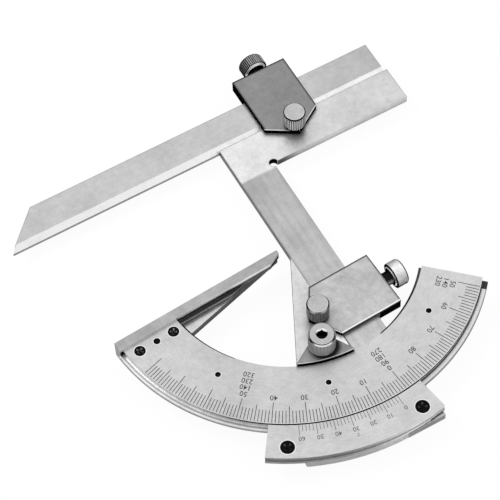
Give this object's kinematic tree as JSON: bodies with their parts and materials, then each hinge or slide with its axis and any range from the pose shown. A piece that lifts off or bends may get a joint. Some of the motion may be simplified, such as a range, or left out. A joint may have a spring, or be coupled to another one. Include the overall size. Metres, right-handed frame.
{
  "type": "universal bevel protractor",
  "caption": "Universal bevel protractor: graduated arc with a fixed base ruler, a swinging sector with vernier and brake, and a square and a bevelled straight ruler held by screw clamps.",
  "frame": {"origin": "on the axis of the graduated arc, the vertex of the measured angle, in the back plane of the blades", "axes": "+X along the working face of the base ruler, which lies on the -X side; +Y is that face's outward normal; +Z out of the graduated face"},
  "size_m": [0.1509, 0.1566, 0.0206],
  "materials": {
    "satin_scale": "satin chrome plated scale face",
    "ground_steel": "fine ground hardened steel",
    "arc_steel": "turned steel",
    "clamp_steel": "satin steel",
    "knob_steel": "knurled and plated steel",
    "black_steel": "blackened steel"
  },
  "bodies": {
    "base": {"graduated_arc": "satin_scale", "toothed_arc": "arc_steel", "toothed_arc_pins": "black_steel", "base_ruler": "ground_steel", "base_ruler_screws": "black_steel", "base_ruler_dowel": "black_steel"},
    "sector": {"sector_plate": "ground_steel", "vernier_plate": "satin_scale", "vernier_guide": "arc_steel", "vernier_screws": "black_steel", "guide_screws": "black_steel", "brake_shoe": "clamp_steel", "sector_clamp": "clamp_steel"},
    "adjuster": {"pinion_shaft": "arc_steel", "adjusting_knob": "knob_steel"},
    "brake_screw": {"brake_screw": "knob_steel"},
    "sector_face_screw": {"sector_clamp_face_screw": "knob_steel"},
    "sector_side_screw": {"sector_clamp_side_screw": "knob_steel"},
    "square": {"square": "ground_steel", "ruler_clamp": "clamp_steel"},
    "ruler_face_screw": {"ruler_clamp_face_screw": "knob_steel"},
    "ruler_side_screw": {"ruler_clamp_side_screw": "knob_steel"},
    "straight_ruler": {"straight_ruler": "ground_steel"}
  },
  "joints": [
    {"name": "sector_swing", "type": "hinge", "parent": "base", "child": "sector", "pos_m": [0, 0, 0], "axis": [0, 0, 1], "range_deg": [-46.5, 43.5]},
    {"name": "adjuster_turn", "type": "hinge", "parent": "sector", "child": "adjuster", "pos_m": [-0.01768, -0.05969, 0], "axis": [0, 0, 1], "continuous": true},
    {"name": "square_slide", "type": "slide", "parent": "sector", "child": "square", "axis": [0.061, 0.9981, 0], "range_m": [-0.003, 0.03]},
    {"name": "straight_ruler_slide", "type": "slide", "parent": "square", "child": "straight_ruler", "axis": [0.9981, -0.061, 0], "range_m": [-0.025, 0.06]},
    {"name": "brake_screw_turn", "type": "hinge", "parent": "sector", "child": "brake_screw", "pos_m": [-0.01171, -0.0394, 0.01], "axis": [0, 0, 1], "range_deg": [-30, 330]},
    {"name": "sector_face_screw_turn", "type": "hinge", "parent": "sector", "child": "sector_face_screw", "pos_m": [-0.00539, -0.02752, 0.006], "axis": [0, 0, 1], "range_deg": [0, 360]},
    {"name": "sector_side_screw_turn", "type": "hinge", "parent": "sector", "child": "sector_side_screw", "pos_m": [0.01261, -0.02777, 0.0024], "axis": [0.9999, -0.014, 0], "range_deg": [0, 360]},
    {"name": "ruler_face_screw_turn", "type": "hinge", "parent": "square", "child": "ruler_face_screw", "pos_m": [0.0309, 0.04164, 0.006], "axis": [0, 0, 1], "range_deg": [0, 360]},
    {"name": "ruler_side_screw_turn", "type": "hinge", "parent": "square", "child": "ruler_side_screw", "pos_m": [0.032, 0.05961, 0.0024], "axis": [0.061, 0.9981, 0], "range_deg": [0, 360]}
  ],
  "couplings": [
    {"joint": "adjuster_turn", "follows": "sector_swing", "ratio": 15.6}
  ]
}
